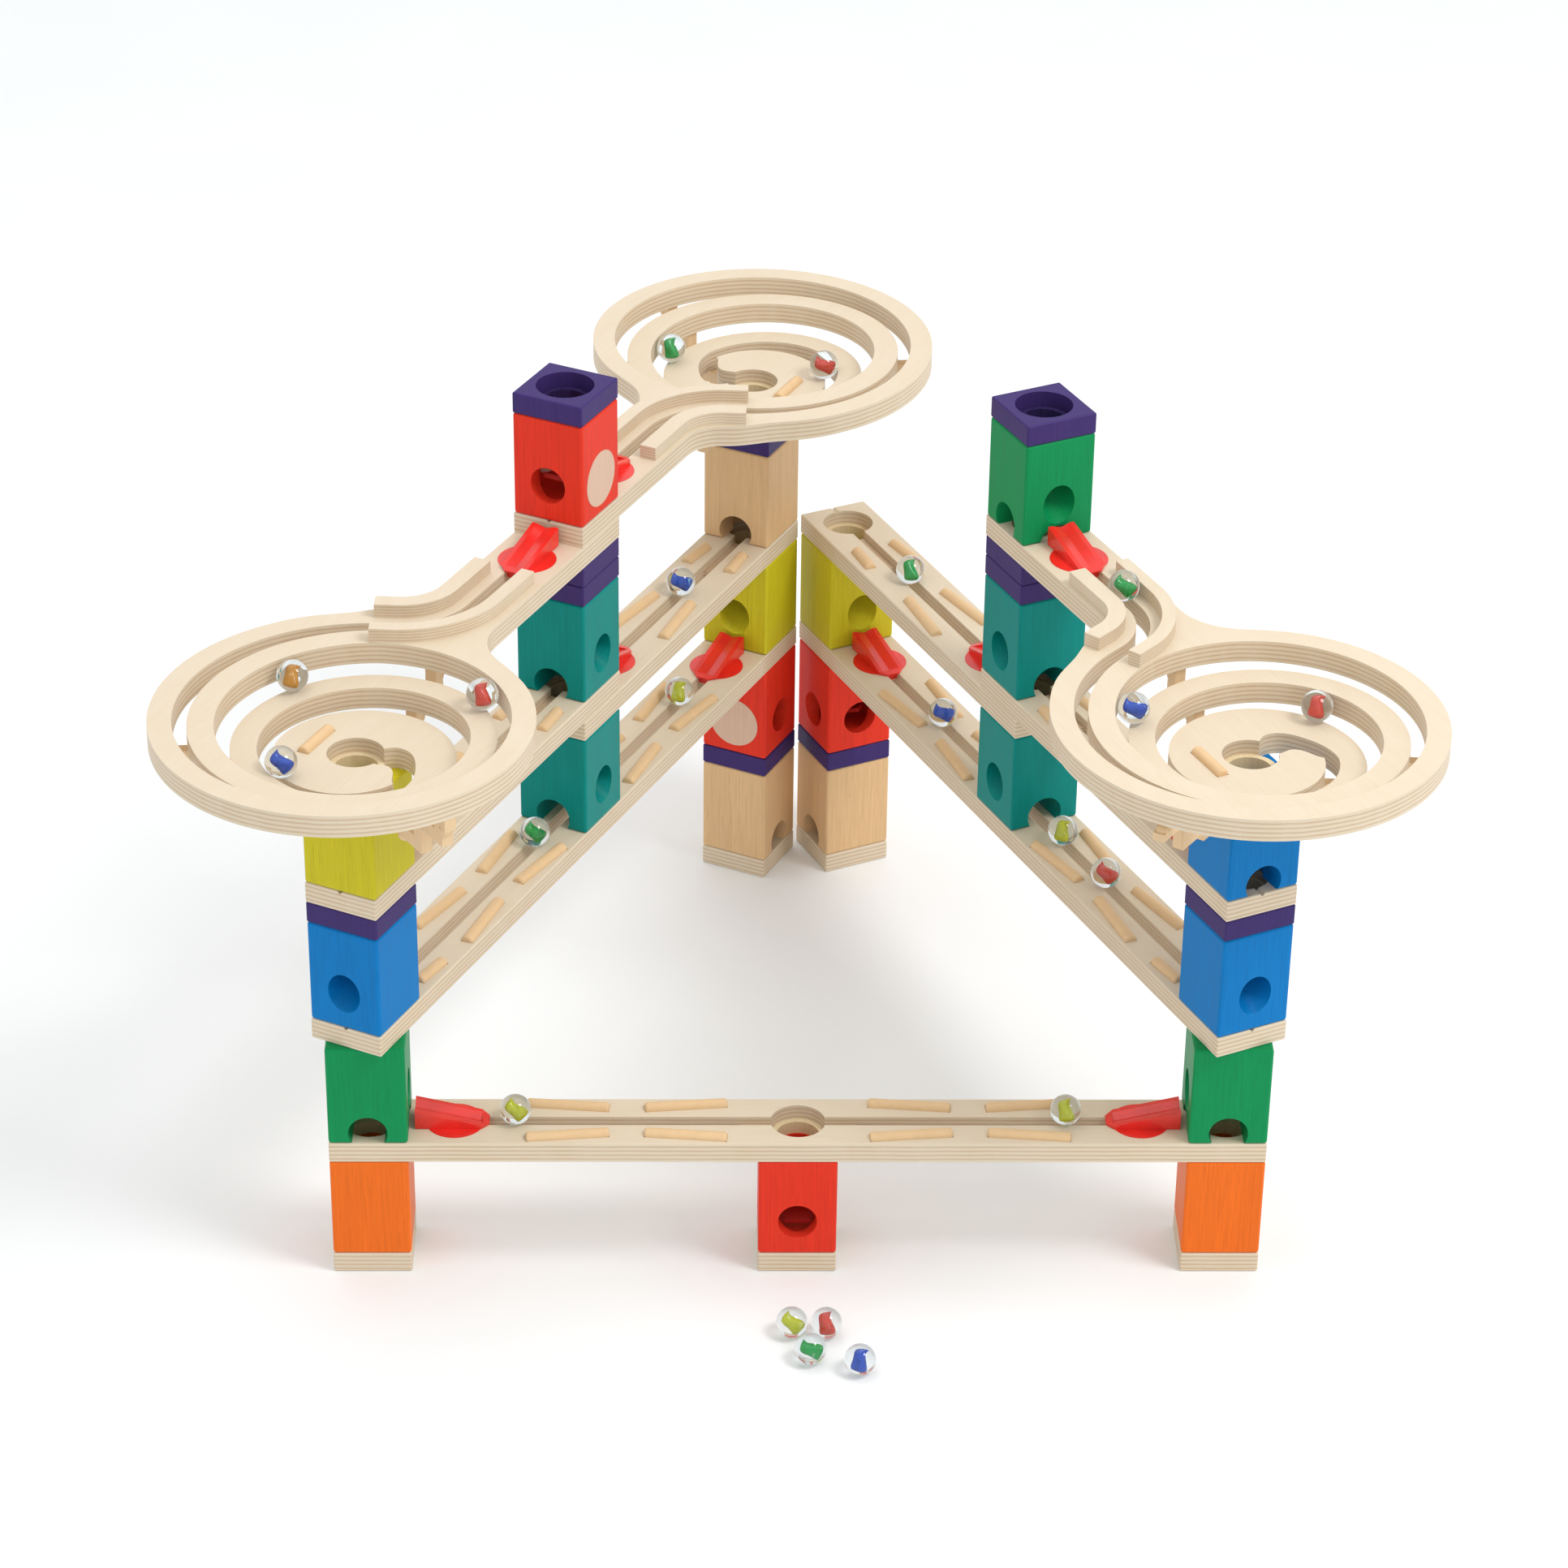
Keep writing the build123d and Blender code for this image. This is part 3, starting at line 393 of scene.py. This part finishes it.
left_tower, right_tower = Vector((-HALF, 0.0)), Vector((HALF, 0.0))
along_left = Vector((math.cos(math.radians(LEFT_ANGLE)), math.sin(math.radians(LEFT_ANGLE))))
back_tower = left_tower + 2 * HALF * along_left
SPIRALS = {
    "spiral_left": (left_tower, LEFT_ANGLE),
    "spiral_right": (right_tower, RIGHT_ANGLE),
    "spiral_back": (back_tower, LEFT_ANGLE + 180.0),
}
for node, (tower, angle) in SPIRALS.items():
    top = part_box(node)[1].z
    dress(node, plywood("birch_" + node, top - PLY, PLY, angle, (tower, angle)))
for node in sorted(frame["nodes"]):
    if node.startswith("rail_"):
        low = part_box(node)[0]
        angle = 0.0
        if node != "rail_front":
            angle = LEFT_ANGLE if "left" in node else RIGHT_ANGLE
        dress(node, plywood("birch_" + node, low.z, PLY, angle))
dress("feet", plywood("birch_feet", 0.0, PLY, 0.0))
guard_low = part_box("spiral_guards")[0].z
guard_finish = plywood("birch_guards", guard_low, GUARD_THICK, GUARD_ANGLE, step=PLY)
dress("spiral_guards", guard_finish)
dress("spiral_struts", solid_wood("strut_wood", STRUT, 0.10, 0.2))

ramp_finish = red_ramp()
rocker_finish = solid_wood("rocker_red", ROCKER, 0.15, 0.25)
for node in sorted(frame["nodes"]):
    if node.startswith("ramp_"):
        dress(node, ramp_finish)
    if node.startswith("rocker_") and node != "rocker_pins_and_plugs":
        dress(node, rocker_finish)

glass = clear_glass()
vanes = {slot: vane_colour("vane_" + slot, *tones) for slot, tones in VANES.items()}
slots = {row["node"]: row["material_slot"] for row in frame["record"]["subparts"]}
balls = sorted(n for n in frame["nodes"] if n.startswith("marble_"))
for order, node in enumerate(balls):
    marble(node, slots[node], glass, vanes, order)


# ---- studio ---------------------------------------------------------------------------
def studio_floor():
    r = Recipe("studio_white", 0.9, 0.1)
    faint = r.noise(r.stretched((6, 6, 6)), 2.0)
    white = r.ramp(faint, [(0.3, (0.90, 0.925, 0.935)), (0.7, (0.92, 0.94, 0.95))])
    floor = mesh_piece(
        "studio_floor",
        lambda s: bmesh.ops.create_grid(s, x_segments=1, y_segments=1, size=12.0),
        r.finish(white),
    )


def area_light(name, place, aim, size, power, rgb=(1.0, 1.0, 1.0)):
    data = bpy.data.lights.new(name, "AREA")
    data.shape = "DISK"
    data.size = size
    data.energy = power
    data.color = rgb
    light = bpy.data.objects.new(name, data)
    light.location = place
    light.rotation_euler = (Vector(aim) - Vector(place)).to_track_quat("-Z", "Y").to_euler()
    bpy.context.scene.collection.objects.link(light)


studio_floor()
middle = (0.0, 0.2, 0.15)
area_light("key", (1.3, -0.6, 2.2), middle, 0.9, 24.0, (1.0, 0.995, 0.985))
area_light("overhead", (-0.3, 0.6, 2.6), middle, 2.2, 9.0)
world = bpy.data.worlds.new("studio")
world.use_nodes = True
world.node_tree.nodes["Background"].inputs["Color"].default_value = (1.0, 1.0, 1.0, 1.0)
world.node_tree.nodes["Background"].inputs["Strength"].default_value = 0.88
bpy.context.scene.world = world
bpy.context.scene.view_settings.view_transform = "Standard"

# ---- camera ---------------------------------------------------------------------------
camera_data = bpy.data.cameras.new("camera")
camera_data.sensor_width = 36.0
camera_data.lens = 107.683
camera = bpy.data.objects.new("camera", camera_data)
camera.location = (-0.05347, -1.95773, 1.45098)
camera.rotation_euler = [math.radians(a) for a in (59.1134, -0.6721, -0.8862)]
bpy.context.scene.collection.objects.link(camera)
bpy.context.scene.camera = camera
